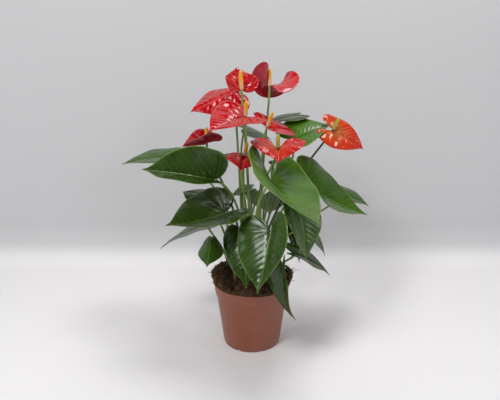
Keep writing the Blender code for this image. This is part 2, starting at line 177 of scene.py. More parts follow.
def leafMaterial():
    # flesh from deep to lit green by the leaf's tone, which is painted shade and light: dark on shaded
    # leaves, bright on lit ones; then paler veins, rib and rim over it; the back is dull and evenly pale
    look = leafLook
    material, tree, shader = startMaterial("leafSkin", Coat_Roughness=look["coatRoughness"],
                                           Specular_IOR_Level=look["specular"])
    patches, grain, veins, net = bladeLayers(tree, look)
    tone = doMath(tree, "MULTIPLY_ADD", patches, look["patchShow"], readAttribute(tree, "tone"))
    # painted shade and light: the tone darkens shaded leaves towards deep green and brightens lit ones
    flesh = mixColours(tree, tone, look["deep"], look["litGreen"])
    thin = doMath(tree, "MULTIPLY", veins, look["veinShow"])
    thin = doMath(tree, "MULTIPLY_ADD", net, look["netShow"], thin)
    veined = mixColours(tree, thin, flesh, look["vein"])
    rib = mapTo(tree, readAttribute(tree, "ribAway"), 0.55, 1.0, 1.0, 0.0)
    rib = doMath(tree, "MULTIPLY", rib, look["ribShow"])
    ribbed = mixColours(tree, rib, veined, look["vein"])
    rim = mapTo(tree, readAttribute(tree, "rimShare"), 0.955, 0.995)
    top = mixColours(tree, doMath(tree, "MULTIPLY", rim, look["rimShow"]), ribbed, look["rim"])
    backVeins = doMath(tree, "MULTIPLY", veins, look["backVeinShow"])
    back = mixColours(tree, doMath(tree, "MAXIMUM", backVeins, rib), look["under"], look["rim"])
    side = readAttribute(tree, "backSide")
    tree.links.new(mixColours(tree, side, top, back), shader.inputs["Base Color"])
    rough = doMath(tree, "MULTIPLY_ADD", patches, 0.08, look["roughness"])
    rough = doMath(tree, "MULTIPLY_ADD", side, look["backRoughness"], rough)
    tree.links.new(rough, shader.inputs["Roughness"])
    tree.links.new(mapTo(tree, side, 0.0, 1.0, look["coat"], look["backCoat"]), shader.inputs["Coat Weight"])
    height = doMath(tree, "MULTIPLY_ADD", net, -0.35, grain)
    height = doMath(tree, "MULTIPLY_ADD", veins, -1.2, height)
    tree.links.new(bumpFrom(tree, height, look["bump"]), shader.inputs["Normal"])
    return material


spatheLook = {
    "red": (0.520, 0.0010, 0.004), "dark": (0.230, 0.0008, 0.004), "back": (0.400, 0.003, 0.020),
    "orange": (0.700, 0.085, 0.010), "green": (0.190, 0.240, 0.035), "patchScale": 34.0, "grainScale": 1300.0,
    "netScale": 260.0, "veinWidth": 0.07, "patchShow": 0.5, "veinShow": 0.35, "netShow": 0.10,
    "specular": 0.35, "coat": 0.30, "backCoat": 0.10, "coatRoughness": 0.06, "roughness": 0.09,
    "backRoughness": 0.18, "bump": 0.10,
}


def spatheMaterial():
    # lacquer red with darker patches and veins; unripe flowers fade to orange and green near
    # the spadix
    look = spatheLook
    material, tree, shader = startMaterial("spatheLacquer", Coat_Roughness=look["coatRoughness"],
                                           Specular_IOR_Level=look["specular"])
    patches, grain, veins, net = bladeLayers(tree, look)
    flesh = mixColours(tree, doMath(tree, "MULTIPLY", patches, look["patchShow"]), look["red"], look["dark"])
    flesh = mixColours(tree, readAttribute(tree, "orange"), flesh, look["orange"])
    flesh = mixColours(tree, readAttribute(tree, "greenish"), flesh, look["green"])
    lines = doMath(tree, "MULTIPLY", veins, look["veinShow"])
    lines = doMath(tree, "MULTIPLY_ADD", net, look["netShow"], lines)
    top = mixColours(tree, lines, flesh, look["dark"])
    side = readAttribute(tree, "backSide")
    tree.links.new(mixColours(tree, side, top, look["back"]), shader.inputs["Base Color"])
    rough = doMath(tree, "MULTIPLY_ADD", patches, 0.05, look["roughness"])
    rough = doMath(tree, "MULTIPLY_ADD", side, look["backRoughness"], rough)
    tree.links.new(rough, shader.inputs["Roughness"])
    tree.links.new(mapTo(tree, side, 0.0, 1.0, look["coat"], look["backCoat"]), shader.inputs["Coat Weight"])
    height = doMath(tree, "MULTIPLY_ADD", net, -0.6, grain)
    tree.links.new(bumpFrom(tree, height, look["bump"]), shader.inputs["Normal"])
    return material


stalkLook = {"foot": (0.170, 0.150, 0.060), "mid": (0.200, 0.320, 0.060), "top": (0.270, 0.400, 0.075),
             "shade": (0.030, 0.060, 0.020)}


def stalkMaterial():
    # brown at the foot, greener upwards, darkened by painted shade through the stalk's tone, with fine specks
    material, tree, shader = startMaterial("stalkSkin", Coat_Weight=0.15, Coat_Roughness=0.3)
    mottle = useGroup(tree, mottleGroup, {"Patch Scale": 60.0, "Grain Scale": 1500.0})
    along = readAttribute(tree, "alongShare")
    lower = mixColours(tree, mapTo(tree, along, 0.02, 0.35), stalkLook["foot"], stalkLook["mid"])
    whole = mixColours(tree, mapTo(tree, along, 0.45, 1.0), lower, stalkLook["top"])
    # painted shade: the tone darkens the stalk towards the shade colour
    toned = mixColours(tree, readAttribute(tree, "tone"), whole, stalkLook["shade"])
    specks = doMath(tree, "MULTIPLY", mottle.outputs["Grain"], 0.25)
    speckled = mixColours(tree, specks, toned, stalkLook["foot"])
    tree.links.new(speckled, shader.inputs["Base Color"])
    tree.links.new(mapTo(tree, mottle.outputs["Patches"], 0.0, 1.0, 0.32, 0.50), shader.inputs["Roughness"])
    tree.links.new(bumpFrom(tree, mottle.outputs["Grain"], 0.3), shader.inputs["Normal"])
    return material


spadixLook = {"base": (0.850, 0.620, 0.350), "tip": (0.850, 0.470, 0.020), "young": (0.420, 0.470, 0.060),
              "between": (0.420, 0.170, 0.020)}


def spadixMaterial():
    # cream at the base and orange above, green when unripe, with painted shade darker between the beads
    material, tree, shader = startMaterial("spadixBeads")
    mottle = useGroup(tree, mottleGroup, {"Patch Scale": 120.0, "Grain Scale": 2500.0})
    along = readAttribute(tree, "alongShare")
    ripe = mixColours(tree, mapTo(tree, along, 0.15, 0.60), spadixLook["base"], spadixLook["tip"])
    toned = mixColours(tree, readAttribute(tree, "tone"), ripe, spadixLook["young"])
    # painted shade: the gaps between the beads are darkened
    beads = doMath(tree, "MULTIPLY", mapTo(tree, readAttribute(tree, "beadHeight"), 0.0, 0.5, 1.0, 0.0), 0.45)
    shaded = mixColours(tree, beads, toned, spadixLook["between"])
    tree.links.new(shaded, shader.inputs["Base Color"])
    tree.links.new(mapTo(tree, mottle.outputs["Patches"], 0.0, 1.0, 0.35, 0.55), shader.inputs["Roughness"])
    tree.links.new(bumpFrom(tree, mottle.outputs["Grain"], 0.2), shader.inputs["Normal"])
    return material


# Pot and peat materials.
potLook = {"clay": (0.235, 0.062, 0.028), "worn": (0.330, 0.120, 0.070), "dust": (0.20, 0.11, 0.07)}


def potMaterial():
    # brown plastic with paler worn patches and upright streaks, dusty near the foot, finely
    # ringed
    material, tree, shader = startMaterial("terracottaPlastic", Coat_Weight=0.05, Coat_Roughness=0.4)
    mottle = useGroup(tree, mottleGroup, {"Patch Scale": 13.0, "Grain Scale": 1100.0})
    where = putNode(tree, "TexCoord").outputs["Object"]
    apart = putNode(tree, "SeparateXYZ", {0: where})
    worn = doMath(tree, "MULTIPLY", mottle.outputs["Patches"], 0.35)
    body = mixColours(tree, worn, potLook["clay"], potLook["worn"])
    stretched = putNode(tree, "Mapping", {"Vector": where, "Scale": (60.0, 60.0, 4.0)}).outputs["Vector"]
    streaks = putNode(tree, "TexNoise", {"Vector": stretched, "Scale": 1.0, "Detail": 3.0}).outputs["Fac"]
    streaks = doMath(tree, "MULTIPLY", mapTo(tree, streaks, 0.52, 0.75), 0.22)
    body = mixColours(tree, streaks, body, potLook["worn"])
    low = mapTo(tree, apart.outputs["Z"], 0.0, 0.03, 0.35, 0.0)
    soiled = doMath(tree, "MULTIPLY", low, mottle.outputs["Patches"])
    body = mixColours(tree, soiled, body, potLook["dust"])
    tree.links.new(body, shader.inputs["Base Color"])
    tree.links.new(mapTo(tree, mottle.outputs["Patches"], 0.0, 1.0, 0.36, 0.50), shader.inputs["Roughness"])
    rings = {"Vector": where, "Scale": 260.0, "Distortion": 0.4}
    turned = putNode(tree, "TexWave", rings, bands_direction="Z").outputs["Fac"]
    height = doMath(tree, "MULTIPLY_ADD", turned, 0.25, mottle.outputs["Grain"])
    tree.links.new(bumpFrom(tree, height, 0.12), shader.inputs["Normal"])
    return material


peatLook = {"wet": (0.016, 0.009, 0.006), "brown": (0.110, 0.058, 0.030), "straw": (0.360, 0.200, 0.090)}


def peatMaterial():
    # wet and brown patches with straw-coloured flecks
    material, tree, shader = startMaterial("peatCrumb", Specular_IOR_Level=0.25)
    mottle = useGroup(tree, mottleGroup, {"Patch Scale": 90.0, "Grain Scale": 700.0})
    body = mixColours(tree, mottle.outputs["Patches"], peatLook["wet"], peatLook["brown"])
    flecks = mapTo(tree, mottle.outputs["Grain"], 0.55, 0.95, 0.0, 0.55)
    tree.links.new(mixColours(tree, flecks, body, peatLook["straw"]), shader.inputs["Base Color"])
    tree.links.new(mapTo(tree, mottle.outputs["Grain"], 0.0, 1.0, 0.80, 1.0), shader.inputs["Roughness"])
    tree.links.new(bumpFrom(tree, mottle.outputs["Grain"], 0.9, 0.0012), shader.inputs["Normal"])
    return material


def fibreMaterial():
    # each crumb or strand has its own tone between wet peat and straw
    material, tree, shader = startMaterial("peatFibre", Specular_IOR_Level=0.3)
    mottle = useGroup(tree, mottleGroup, {"Patch Scale": 150.0, "Grain Scale": 1500.0})
    body = mixColours(tree, readAttribute(tree, "tone"), peatLook["wet"], peatLook["straw"])
    tree.links.new(mixColours(tree, doMath(tree, "MULTIPLY", mottle.outputs["Grain"], 0.4), body,
                              peatLook["brown"]), shader.inputs["Base Color"])
    tree.links.new(mapTo(tree, mottle.outputs["Patches"], 0.0, 1.0, 0.65, 0.9), shader.inputs["Roughness"])
    tree.links.new(bumpFrom(tree, mottle.outputs["Grain"], 0.4, 0.0003), shader.inputs["Normal"])
    return material


# Mesh helpers.
def meshObject(name, points, faces, material, attributes=None, uv=None):
    # a smooth-shaded piece; attributes are one number per point, uv one pair per point
    mesh = bpy.data.meshes.new(name)
    mesh.from_pydata(points.tolist(), [], faces.tolist() if isinstance(faces, np.ndarray) else faces)
    for label, values in (attributes or {}).items():
        layer = mesh.attributes.new(label, "FLOAT", "POINT")
        layer.data.foreach_set("value", np.asarray(values, np.float32).ravel())
    if uv is not None:
        layer = mesh.uv_layers.new(name="bladeUv")
        corners = np.zeros(len(mesh.loops), np.int32)
        mesh.loops.foreach_get("vertex_index", corners)
        layer.data.foreach_set("uv", np.asarray(uv, np.float32)[corners].ravel())
    mesh.materials.append(material)
    mesh.shade_smooth()
    piece = bpy.data.objects.new(name, mesh)
    bpy.context.scene.collection.objects.link(piece)
    return piece


def smoothLine(points, count):
    # a curve through all the points whose slope at each is that between its two neighbours
    points = np.array(points, float)
    padded = np.vstack([2 * points[0] - points[1], points, 2 * points[-1] - points[-2]])
    place = np.linspace(0, len(points) - 1, count)
    first = np.minimum(place.astype(int), len(points) - 2)
    t = (place - first)[:, None]
    a, b, c, d = (padded[first + k] for k in range(4))
    square, cube = 2 * a - 5 * b + 4 * c - d, 3 * b - a - 3 * c + d
    return 0.5 * (2 * b + (c - a) * t + square * t ** 2 + cube * t ** 3)


def softNoise(points, size, seed, waves=14):
    # sum of plane waves in random directions, about size long, from roughly -1 to 1
    rng = np.random.default_rng(seed)
    directions = rng.normal(size=(waves, 3))
    reach = np.linalg.norm(directions, axis=1)[:, None]
    directions *= (2 * np.pi / size) * rng.uniform(0.7, 1.5, (waves, 1)) / reach
    heights = np.sin(points @ directions.T + rng.uniform(0, 2 * np.pi, waves))
    return heights.sum(-1) * (2.0 / waves) ** 0.5 * 0.7


def unitRows(vectors):
    # each vector divided by its length
    return vectors / np.maximum(np.linalg.norm(vectors, axis=-1, keepdims=True), 1e-12)


def turnMatrix(heading, pitch, roll):
    # columns: the midrib, the blade's left side and its upper face
    h, p, r = np.radians([heading, pitch, roll])
    aboutX = np.array([[1, 0, 0], [0, cos(r), -sin(r)], [0, sin(r), cos(r)]])
    aboutY = np.array([[cos(p), 0, -sin(p)], [0, 1, 0], [sin(p), 0, cos(p)]])
    aboutZ = np.array([[cos(h), -sin(h), 0], [sin(h), cos(h), 0], [0, 0, 1]])
    return aboutZ @ aboutY @ aboutX


# Blades.
# Half outlines from the sinus round the lobe to the tip: the first number runs along the rib
# (a share of the lobe behind the joint, of the length in front), the second is a share of the
# half width.
leafOutline = [(0, 0), (-.45, .10), (-.85, .32), (-1, .60), (-.65, .86), (.05, 1), (.28, .96),
               (.50, .78), (.70, .48), (.84, .20), (.92, .07), (1, 0)]
spatheOutline = [(0, 0), (-.04, .04), (-.45, .14), (-1, .40), (-.86, .76), (0, 1), (.25, .98), (.50, .78),
                 (.72, .45), (.87, .17), (.94, .06), (1, 0)]
bladeSetting = {
    "rows": 72, "columns": 53, "cadRows": 12, "rowPower": 1.5, "columnPower": 0.9, "rimThickness": 0.0003,
    "veinAngle": 52, "veinBow": 0.16, "fanStep": 26, "fieldPower": 0.7, "waveLength": 0.085,
    "waveStart": 0.03, "calmShare": 0.12, "grooveWidth": 0.0035, "bulgeWidth": 0.0012, "ribWidth": 0.0013,
}
# pucker is how high the fields stand between the veins, ripple the length of finer waves on
# them, wave the height of the long waves near the margin, ribBulge the rib's height below
leafKind = {"outline": leafOutline, "cadColumns": 5, "thickness": 0.0008, "pucker": 0.0009, "veins": 9,
            "ripple": 0.030, "wave": 0.0028, "ribBulge": 0.0013}
spatheKind = {"outline": spatheOutline, "cadColumns": 7, "thickness": 0.0010, "pucker": 0.0024, "veins": 8,
              "ripple": 0.022, "wave": 0.0035, "ribBulge": 0.0}


def flatBlade(habit, kind, rows, columns, columnPower, room):
    # flat heart: straight lines run from points on the rib out to the outline; the room keeps
    # the sinus open round a spadix
    length, half = habit["length"], habit["width"] / 2
    lobe = habit["lobe"] * length
    edge = smoothLine(kind["outline"], rows)
    edgeX = np.where(edge[:, 0] < 0, edge[:, 0] * lobe, edge[:, 0] * length)
    edgeY = np.maximum(edge[:, 1], 0) * half
    sinus = room / cos(radians(habit["fold"]))
    edgeY = np.where((edgeX < 0) & (edgeY < sinus), sinus, edgeY)
    ribX = np.linspace(0, 1, rows) ** bladeSetting["rowPower"] * length
    share = np.linspace(-1, 1, columns)
    share = np.sign(share) * np.abs(share) ** columnPower
    x = ribX[:, None] + (edgeX - ribX)[:, None] * np.abs(share)
    y = edgeY[:, None] * share
    return x, y, np.broadcast_to(share, x.shape)


def bentBlade(habit, x, y):
    # across, each half is an arc leaving the rib at the fold and curling over; along, the rib
    # is an arc that droops and the lobes bend by the hook; the tip end twists round the rib
    length, half = habit["length"], habit["width"] / 2
    lobe = habit["lobe"] * length
    fold = radians(habit["fold"]) * (1 - 0.5 * np.clip(x / length, 0, 1))
    curl = (radians(habit["curl"]) or 1e-4) / half
    side = np.sign(y) * (np.sin(fold) - np.sin(fold - curl * np.abs(y))) / curl
    lift = (np.cos(fold - curl * np.abs(y)) - np.cos(fold)) / curl
    turn = radians(habit["twist"]) * x / length
    side, lift = side * np.cos(turn) - lift * np.sin(turn), side * np.sin(turn) + lift * np.cos(turn)
    droop, hook = radians(habit["droop"]) or 1e-4, radians(habit["hook"]) or 1e-4
    bend = np.where(x >= 0, -droop / length, -hook / lobe)
    along = np.sin(bend * x) / bend - np.sin(bend * x) * lift
    height = (1 - np.cos(bend * x)) / bend + np.cos(bend * x) * lift
    local = np.stack([along, side, height], axis=-1)
    return local @ turnMatrix(habit["heading"], habit["pitch"], habit["roll"]).T


def veinNumbers(habit, x, y, count):
    # Side veins leave the rib at one angle and bow towards the tip, numbered along the rib.
    # Behind the first one they fan out from the joint, numbered by their angle.
    length, half = habit["length"], habit["width"] / 2
    bowed = x - bladeSetting["veinBow"] * y ** 2 / half
    slope = 1 / np.tan(radians(bladeSetting["veinAngle"]))
    start = bowed - np.abs(y) * slope
    angle = np.degrees(np.arctan2(np.abs(y), bowed))
    fan = -(angle - bladeSetting["veinAngle"]) / bladeSetting["fanStep"]
    return np.where(start > 0, start / length * count, fan)


def coarseJoint(node, habit, kind, room):
    # where the joint lies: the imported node's box centre less that of the same blade drawn
    # from the joint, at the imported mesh's own spacing
    x, y, share = flatBlade(habit, kind, bladeSetting["cadRows"], kind["cadColumns"], 1.0, room)
    grid = bentBlade(habit, x, y).reshape(-1, 3)
    low, high = (np.array(corner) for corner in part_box(node))
    return (low + high) / 2 - (grid.min(0) + grid.max(0)) / 2


def bladeObject(name, habit, kind, joint, material, room, extra):
    # The bent heart with raised fields between its veins, given two faces and a thin rim.
    # Fields rise with the sine of the vein number, and calm down near the rib and the margin.
    # Long waves grow with the square of the distance from the rib.
    setting = bladeSetting
    rows, columns = setting["rows"], setting["columns"]
    x, y, share = flatBlade(habit, kind, rows, columns, setting["columnPower"], room)
    grid = bentBlade(habit, x, y)
    numbers = veinNumbers(habit, x, y, kind["veins"])
    seed = sum(ord(letter) * (k + 3) for k, letter in enumerate(name))
    away = np.abs(y) / (habit["width"] / 2)
    calm = np.clip(away / setting["calmShare"], 0, 1)
    calm = calm * np.clip((1 - np.abs(share)) / setting["calmShare"], 0, 1)
    field = np.abs(np.sin(np.pi * numbers)) ** setting["fieldPower"] - 0.35
    flat = np.stack([x, y, np.zeros_like(x)], -1)
    ripple = softNoise(flat, kind["ripple"], seed)
    wave = kind["wave"] * softNoise(flat, setting["waveLength"], seed + 1) * away ** 2
    wave = wave * np.clip(np.hypot(x, y) / setting["waveStart"], 0, 1)
    groove = -0.8 * np.exp(-(y / setting["grooveWidth"]) ** 2)
    offset = kind["pucker"] * ((field + 0.35 * ripple) * calm + groove) + wave
    normal = unitRows(np.cross(np.gradient(grid, axis=0), np.gradient(grid, axis=1)))
    normal[0], normal[-1] = normal[1].mean(0), normal[-2].mean(0)
    normal = unitRows(normal)
    surface = grid + normal * offset[..., None] + joint
    thin = setting["rimThickness"]
    thick = thin + (kind["thickness"] - thin) * (1 - np.abs(share) ** 3)
    bulge = kind["ribBulge"] * np.exp(-(y / setting["bulgeWidth"]) ** 2)
    bulge = bulge * (1 - 0.75 * np.clip(x / habit["length"], 0, 1))
    top = surface + normal * (thick / 2)[..., None]
    bottom = surface - normal * (thick / 2 + bulge)[..., None]

    # the sheet's first and last rows are one point each, shared by both faces
    inner = (rows - 2) * columns
    points = np.vstack([surface[0, :1], top[1:-1].reshape(-1, 3),
                        surface[-1, :1], bottom[1:-1].reshape(-1, 3)])
    a = (1 + np.arange(rows - 3)[:, None] * columns + np.arange(columns - 1)).ravel()
    upper = np.stack([a, a + columns, a + columns + 1, a + 1], -1)
    lower = upper[:, ::-1] + inner + 1
    first = 1 + np.arange(rows - 3) * columns
    last = first + columns - 1
    below = inner + 1
    rimA = np.stack([first, first + below, first + columns + below, first + columns], -1)
    rimB = np.stack([last, last + columns, last + columns + below, last + below], -1)
    faces = np.vstack([upper, lower, rimA, rimB]).tolist()
    tip = inner + 1
    startRow, endRow = 1 + np.arange(columns - 1), 1 + (rows - 3) * columns + np.arange(columns - 1)
    for k in startRow.tolist():
        faces += [(0, k, k + 1), (0, k + 1 + below, k + below)]
    for k in endRow.tolist():
        faces += [(tip, k + 1, k), (tip, k + below, k + 1 + below)]
    firstA, lastA = 1, columns
    faces += [(0, firstA + below, firstA), (0, lastA, lastA + below)]
    endA, endB = 1 + (rows - 3) * columns, (rows - 2) * columns
    faces += [(tip, endA, endA + below), (tip, endB + below, endB)]

    def spread(values):
        values = np.broadcast_to(values, x.shape)
        return np.concatenate([values[0, :1], values[1:-1].ravel(), values[-1, :1], values[1:-1].ravel()])

    ribWidth = setting["ribWidth"] * (1 - 0.7 * np.clip(x / habit["length"], 0, 1))
    ribAway = np.where(x < 0, 3, np.minimum(np.abs(y) / ribWidth, 3))
    backSide = np.concatenate([[0], np.zeros(inner), [0], np.ones(inner)])
    attributes = {"veinNumber": spread(numbers), "ribAway": spread(ribAway),
                  "rimShare": spread(np.abs(share)), "backSide": backSide}
    for label, values in extra(x, y, share).items():
        attributes[label] = spread(values)
    uv = np.stack([spread(x), spread(y)], -1)
    return meshObject(name, points, faces, material, attributes, uv)


# Stalks.
# handle is how long a stalk keeps its end direction, as a share of its reach; footSwell and
# neckSwell are shares of the radius
stalkSetting = {
    "sides": 14, "steps": 70, "leafRadius": 0.0022, "flowerRadius": 0.0023, "cadFlowerRadius": 0.0021,
    "footLength": 0.020, "bladeThickness": 0.0009, "leafHandle": 0.25, "flowerHandle": 0.15,
    "neckSwell": 0.30, "neckReach": 0.014, "footSwell": 0.25, "footReach": 0.035, "neckRoom": 0.003,
}


def rootOf(node):
    # middle of the stalk's lowest ring of points
    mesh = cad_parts[node].data
    points = np.zeros(len(mesh.vertices) * 3, np.float32)
    mesh.vertices.foreach_get("co", points)
    points = points.reshape(-1, 3)
    low = points[points[:, 2] < points[:, 2].min() + 0.0005]
    return (low.min(0) + low.max(0)) / 2


def stalkLine(root, rise, end, direction, handle):
    # upright foot, then one cubic sweep that arrives at the end along the direction
    start = root + np.array([0, 0, stalkSetting["footLength"]])
    reach = np.linalg.norm(end - start)
    first = start + np.array([0, 0, rise * reach])
    second = end - direction * handle * reach
    t = np.linspace(0, 1, stalkSetting["steps"])[:, None]
    sweep = start * (1 - t) ** 3 + first * 3 * t * (1 - t) ** 2 + second * 3 * t ** 2 * (1 - t) + end * t ** 3
    return np.vstack([root + (start - root) * np.linspace(0, 1, 6)[:-1, None], sweep])


def carriedFrames(line):
    # tangent and two sideways directions at each point, carried along without spinning
    tangent = unitRows(np.gradient(line, axis=0))
    sideways = np.zeros_like(line)
    current = unitRows(np.cross(tangent[0], [0.31, 0.95, 0.1]))
    for k, along in enumerate(tangent):
        current = unitRows(current - along * (current @ along))
        sideways[k] = current
    return tangent, sideways, np.cross(tangent, sideways)


def tubeArrays(line, radii, sides):
    # rings of points round the line, closed by a point at each end
    tangent, u, v = carriedFrames(line)
    turn = np.linspace(0, 2 * np.pi, sides, endpoint=False)
    radii = np.asarray(radii)
    radii = radii[:, None] if radii.ndim == 1 else radii
    spokes = u[:, None] * np.cos(turn)[:, None] + v[:, None] * np.sin(turn)[:, None]
    rings = line[:, None] + spokes * radii[..., None]
    count = len(line)
    points = np.vstack([rings.reshape(-1, 3), line[:1], line[-1:]])
    i, j = np.meshgrid(np.arange(count - 1), np.arange(sides), indexing="ij")
    a, b = (i * sides + j).ravel(), (i * sides + (j + 1) % sides).ravel()
    faces = np.stack([a, b, b + sides, a + sides], -1).tolist()
    low, high = count * sides, count * sides + 1
    for k in range(sides):
        after = (k + 1) % sides
        faces += [(low, after, k), (high, (count - 1) * sides + k, (count - 1) * sides + after)]
    return points, faces


def stalkObject(name, line, radii, material, tone):
    # a tube along the line that knows at each point how far up it is, from 0 to 1
    sides = stalkSetting["sides"]
    points, faces = tubeArrays(line, radii, sides)
    along = np.linspace(0, 1, len(line))
    spread = np.concatenate([np.repeat(along, sides), [0, 1]])
    values = {"alongShare": spread, "tone": np.full(len(points), tone)}
    return meshObject(name, points, faces, material, values)


# Leaves.
# length and width in metres, angles in degrees; tone is painted shade and light and runs from 0 for
# dark shaded leaves to 1 for bright lit green ones
bladeColumns = ("length", "width", "heading", "pitch", "roll", "droop", "fold", "curl", "hook", "lobe",
                "twist", "neck", "rise", "tone")
leafHabits = {
    "leaf_01": (.125, .11, 190, 5, -5, 20, 15, 15, 15, .25, 0, 66, .50, .22),
    "leaf_02": (.15, .13, 176, 10, -42, 10, 55, 0, 0, .15, 0, 70, .36, .12),
    "leaf_03": (.085, .09, 149, 7, -5, 15, 5, 25, 10, .25, 0, 0, .47, .14),
    "leaf_04": (.13, .145, 210, -10, -10, -20, 30, 20, 10, .30, 0, 0, .53, .10),
    "leaf_05": (.135, .11, 165, -20, 0, 20, 15, 15, 10, .25, 0, 0, .50, .20),
    "leaf_06": (.07, .07, -95, -25, -5, 15, -40, 25, 30, .25, 0, 0, .50, .22),
    "leaf_07": (.11, .085, -85, -45, 10, 25, 0, 35, 25, .25, 0, 0, .50, .06),
    "leaf_08": (.125, .135, -100, -55, 35, -20, 35, 25, 0, .25, 0, 0, .50, .20),
    "leaf_09": (.165, .17, -66, -27, -25, -30, 29, 15, -30, .38, 0, 0, .61, .62),
    "leaf_10": (.155, .14, 10, -40, 22, -25, 30, 15, 5, .25, 0, 0, .52, .42),
    "leaf_11": (.09, .12, 10, 26, 17, 20, 20, 20, 0, .25, 0, 0, .55, .55),
    "leaf_12": (.075, .08, 200, -5, 0, 10, 5, 15, 0, .25, 0, 0, .71, .12),
    "leaf_13": (.085, .09, 30, -13, 12, 25, 0, 15, 10, .25, 0, 2, .44, .06),
    "leaf_14": (.072, .08, -8, -18, 5, 10, 25, 30, 50, .35, 0, -2, .47, .22),
    "leaf_15": (.105, .1, -47, -58, -4, 30, 25, 15, 10, .25, 0, 0, .45, .30),
    "leaf_16": (.08, .07, -12, -50, -1, 20, 10, 20, 10, .25, 0, 0, .72, .22),
    "leaf_17": (.1, .08, 10, -25, 5, 20, 20, 15, 10, .25, 0, 0, .50, .16),
    "leaf_18": (.12, .08, -105, -75, 50, 40, 25, 10, 0, .25, 0, 0, .50, .16),
    "leaf_19": (.09, .1, 147, -11, 12, 20, 15, 15, 0, .25, 0, 0, .50, .04),
    "leaf_20": (.09, .09, 78, -44, 0, 10, 5, 20, 0, .20, 0, 0, .52, .04),
}


# three small leaves deep between the stalks, darkened with painted shade by their low tone, each with its
# joint and root in metres
innerLeaves = {
    "innerRight": ((.095, .036, -70, -55, 5, 20, 15, 15, 10, .25, 0, 0, .50, .02),
                   (.088, .030, .272), (.036, .024)),
    "innerLeft": ((.048, .062, 188, -12, 0, 20, 10, 15, 10, .25, 0, 0, .50, .16),
                  (-.004, .070, .332), (-.008, .050)),
    "innerTop": ((.060, .070, -8, -14, 6, 20, 12, 15, 10, .30, 0, 0, .50, .03),
                 (.054, .015, .408), (.020, .012)),
}


def ridesAs(piece, node=None):
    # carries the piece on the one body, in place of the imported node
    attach(piece, rootBody)
    if node:
        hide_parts(node)


def buildLeaf(name, habit, joint, root, skin, stalkSkin, node=None, cadStalk=None):
    # the blade and, from its root to just under the joint, the petiole: thicker at the foot and
    # swollen where it bends into the blade
    blade = bladeObject("blade" + name, habit, leafKind, joint, skin, 0,
                        lambda x, y, share: {"tone": habit["tone"]})
    turned = turnMatrix(habit["heading"], habit["pitch"], habit["roll"])
    neck = radians(habit["neck"])
    arrival = turned[:, 2] * cos(neck) + turned[:, 0] * sin(neck)
    s = stalkSetting
    under = joint - arrival * (s["bladeThickness"] + airGap + s["neckRoom"] * sin(neck))
    line = stalkLine(root, habit["rise"], under, arrival, s["leafHandle"])
    climbed = np.cumsum(np.r_[0, np.linalg.norm(np.diff(line, axis=0), axis=1)])
    left = climbed[-1] - climbed
    swelling = s["neckSwell"] * np.exp(-(left / s["neckReach"]) ** 2)
    swelling = swelling + s["footSwell"] * np.exp(-(climbed / s["footReach"]) ** 2)
    # painted shade: the darker its blade is painted, the darker the petiole's tone makes it
    stalk = stalkObject("petiole" + name, line, s["leafRadius"] * (1 + swelling), stalkSkin,
                        0.25 * (1 - habit["tone"]))
    ridesAs(blade, node)
    ridesAs(stalk, cadStalk)


def buildLeaves(stalkSkin):
    skin = leafMaterial()
    for node, values in leafHabits.items():
        habit = dict(zip(bladeColumns, values))
        cadStalk = "leaf_stalk_" + node[-2:]
        buildLeaf(node[-2:], habit, coarseJoint(node, habit, leafKind, 0), rootOf(cadStalk), skin, stalkSkin,
                  node, cadStalk)
    for name, (values, joint, root) in innerLeaves.items():
        foot = np.array([*root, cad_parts["leaf_stalk_01"].bound_box[0][2]])
        buildLeaf(name, dict(zip(bladeColumns, values)), np.array(joint), foot, skin, stalkSkin)
    print("leaves: " + str(len(leafHabits) + len(innerLeaves)) + " blades on their petioles")


# Flowers.
# spathe as a blade; its last columns are the tone of the stalk, which is painted shade, how orange
# the spathe is, and the spadix: heading, lean, length in metres and how unripe it is
flowerColumns = bladeColumns + ("orange", "spadixHeading", "spadixLean", "spadixLength", "unripe")
flowerHabits = {
    "1": (.08, .13, 58, -20, 14, -35, 46, 40, -10, .38, -105, 0, .52, 0, 0, 171, 0, .040, 0),
    "2": (.058, .078, 105, 37, 0, -20, 12, -40, 0, .20, 0, 0, .50, .1, 0, -118, 7, .042, 0),
    "3": (.1, .12, 200, -20, -20, 5, -20, 0, 15, .20, 0, 0, .25, .3, 0, 100, 5, .038, 0),
    "4": (.084, .115, 220, 1, -11, 25, 20, 15, 0, .25, 0, 0, .51, 0, 0, -82, 14, .034, 0),
    "5": (.075, .105, 35, -9, 21, 10, 20, 15, -25, .35, 0, 0, .34, 0, 0, -54, 30, .040, 0),
    "6": (.044, .108, -90, 5, 0, 50, 28, 15, -30, .75, 0, 0, .80, 0, .35, -91, 16, .032, .75),
    "7": (.076, .085, -8, -24, 36, 15, 10, 20, 0, .42, 0, 0, .41, .8, .55, -52, 32, .034, .8),
    "8": (.05, .085, 199, -1, 7, 0, 48, 15, 30, .50, 0, 0, .56, .9, 0, 94, 7, .034, 0),
    "9": (.05, .07, -95, -4, -9, 25, 15, 35, -10, .25, 0, 0, .51, .2, .1, -69, 27, .036, 0),
}


# The radius at each share of a spadix, as a share of its full radius. A bead row is its length
# along the spadix, beads how many spirals run each way, relief how deep the gaps between are.
spadixSetting = {
    "steps": 90, "sides": 48, "radius": 0.0041, "beadRow": 0.0016, "beads": 6, "relief": 0.10, "lift": 0.003,
    "outline": [(0, .55), (.06, .90), (.15, 1.0), (.45, 1.0), (.80, .88), (.93, .66), (1, .22)],
}


